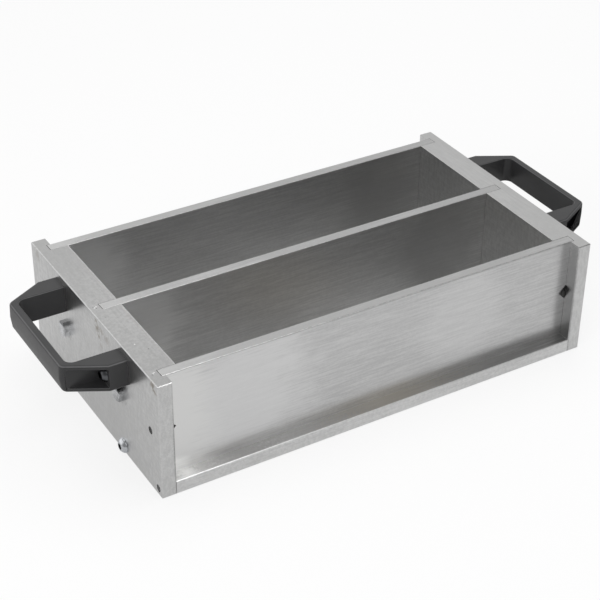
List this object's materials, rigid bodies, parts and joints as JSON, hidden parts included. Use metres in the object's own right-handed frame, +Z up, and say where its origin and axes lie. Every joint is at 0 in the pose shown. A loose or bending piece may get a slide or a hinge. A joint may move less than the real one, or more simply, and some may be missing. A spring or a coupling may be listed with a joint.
{
  "type": "concrete prism mould",
  "caption": "Open steel mould for casting concrete prisms side by side, with grooved end plates, lift-out side plates and divider, gauge studs and bridge handles.",
  "frame": {"origin": "on the ground under the middle of the mould", "axes": "+Z up, +X along the prisms from the left end to the right end, +Y from the front side to the back side"},
  "size_m": [0.4028, 0.189, 0.085],
  "materials": {
    "base_steel": "ground plate, dulled by use",
    "end_steel": "fine ground, satin",
    "wall_steel": "ground lengthwise, satin",
    "handle_plastic": "moulded, fine texture",
    "zinc_steel": "bright zinc plate",
    "pin_steel": "plain hardened steel, dull",
    "stainless": "turned stainless steel"
  },
  "bodies": {
    "mould_frame": {"base_plate": "base_steel", "left_end_plate": "end_steel", "right_end_plate": "end_steel", "left_handle": "handle_plastic", "right_handle": "handle_plastic", "left_front_base_bolt": "zinc_steel", "left_back_base_bolt": "zinc_steel", "right_front_base_bolt": "zinc_steel", "right_back_base_bolt": "zinc_steel", "left_front_dowel": "pin_steel", "left_back_dowel": "pin_steel", "right_front_dowel": "pin_steel", "right_back_dowel": "pin_steel", "left_front_handle_screw": "zinc_steel", "left_back_handle_screw": "zinc_steel", "right_front_handle_screw": "zinc_steel", "right_back_handle_screw": "zinc_steel"},
    "front_side_plate": {"front_side_plate": "wall_steel"},
    "back_side_plate": {"back_side_plate": "wall_steel"},
    "divider_plate": {"divider_plate": "wall_steel"},
    "left_front_stud_screw": {"left_front_stud_screw": "zinc_steel", "left_front_gauge_stud": "stainless"},
    "left_back_stud_screw": {"left_back_stud_screw": "zinc_steel", "left_back_gauge_stud": "stainless"},
    "right_front_stud_screw": {"right_front_stud_screw": "zinc_steel", "right_front_gauge_stud": "stainless"},
    "right_back_stud_screw": {"right_back_stud_screw": "zinc_steel", "right_back_gauge_stud": "stainless"},
    "left_front_locking_screw": {"left_front_locking_screw": "pin_steel"},
    "left_back_locking_screw": {"left_back_locking_screw": "pin_steel"},
    "right_front_locking_screw": {"right_front_locking_screw": "pin_steel"},
    "right_back_locking_screw": {"right_back_locking_screw": "pin_steel"}
  },
  "joints": [
    {"name": "front_side_plate_lift", "type": "slide", "parent": "mould_frame", "child": "front_side_plate", "axis": [0, 0, 1], "range_m": [0, 0.08]},
    {"name": "back_side_plate_lift", "type": "slide", "parent": "mould_frame", "child": "back_side_plate", "axis": [0, 0, 1], "range_m": [0, 0.08]},
    {"name": "divider_plate_lift", "type": "slide", "parent": "mould_frame", "child": "divider_plate", "axis": [0, 0, 1], "range_m": [0, 0.08]},
    {"name": "left_front_stud_screw_out", "type": "slide", "parent": "mould_frame", "child": "left_front_stud_screw", "axis": [-1, 0, 0], "range_m": [0, 0.0175]},
    {"name": "left_back_stud_screw_out", "type": "slide", "parent": "mould_frame", "child": "left_back_stud_screw", "axis": [-1, 0, 0], "range_m": [0, 0.0175]},
    {"name": "right_front_stud_screw_out", "type": "slide", "parent": "mould_frame", "child": "right_front_stud_screw", "axis": [1, 0, 0], "range_m": [0, 0.0175]},
    {"name": "right_back_stud_screw_out", "type": "slide", "parent": "mould_frame", "child": "right_back_stud_screw", "axis": [1, 0, 0], "range_m": [0, 0.0175]},
    {"name": "left_front_locking_screw_in", "type": "slide", "parent": "mould_frame", "child": "left_front_locking_screw", "axis": [1, 0, 0], "range_m": [0, 0.003]},
    {"name": "left_back_locking_screw_in", "type": "slide", "parent": "mould_frame", "child": "left_back_locking_screw", "axis": [1, 0, 0], "range_m": [0, 0.003]},
    {"name": "right_front_locking_screw_in", "type": "slide", "parent": "mould_frame", "child": "right_front_locking_screw", "axis": [-1, 0, 0], "range_m": [0, 0.003]},
    {"name": "right_back_locking_screw_in", "type": "slide", "parent": "mould_frame", "child": "right_back_locking_screw", "axis": [-1, 0, 0], "range_m": [0, 0.003]}
  ]
}
